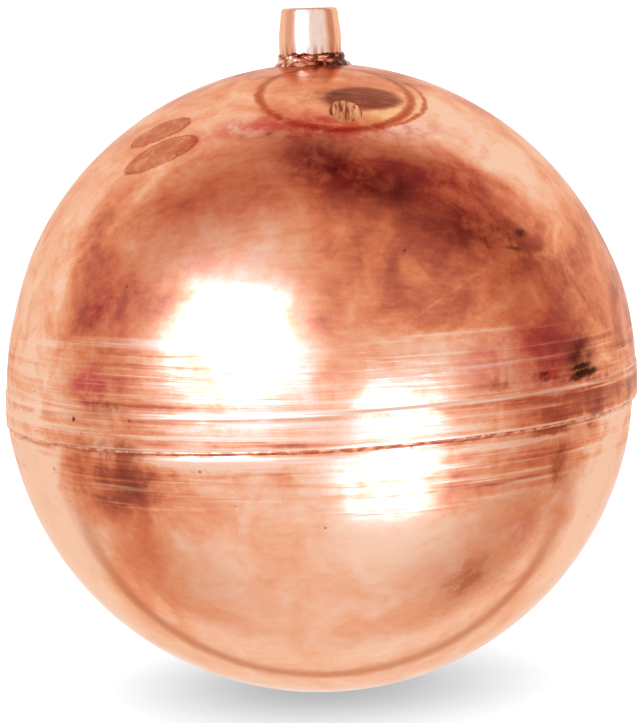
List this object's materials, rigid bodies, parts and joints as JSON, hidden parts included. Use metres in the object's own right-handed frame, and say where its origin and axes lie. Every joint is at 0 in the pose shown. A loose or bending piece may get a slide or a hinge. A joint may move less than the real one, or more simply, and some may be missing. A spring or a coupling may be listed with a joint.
{
  "type": "float ball",
  "caption": "Hollow copper float: two spun half shells lapped and soldered at the middle, with a tapped boss on top for the rod that works a float valve.",
  "frame": {"origin": "centre of the spud's mouth, in the plane of its rim", "axes": "+Z along the spud's bore, out of its mouth; the ball hangs along -Z; +X and +Y are square to it, and the vent seal lies near -Y"},
  "size_m": [0.153, 0.153, 0.1655],
  "materials": {
    "shell_copper": "spun copper sheet, polished, with brush marks at the seam and heat and handling tarnish",
    "spud_copper": "turned copper alloy, bright",
    "braze": "rough brazing filler, dark with scale",
    "solder": "dull solder, wiped smooth"
  },
  "bodies": {
    "root": {"upper_shell": "shell_copper", "lower_shell": "shell_copper", "seam_solder": "solder", "spud": "spud_copper", "spud_braze": "braze", "backing_disc": "shell_copper", "inner_braze": "braze", "vent_seal": "solder"}
  },
  "joints": []
}
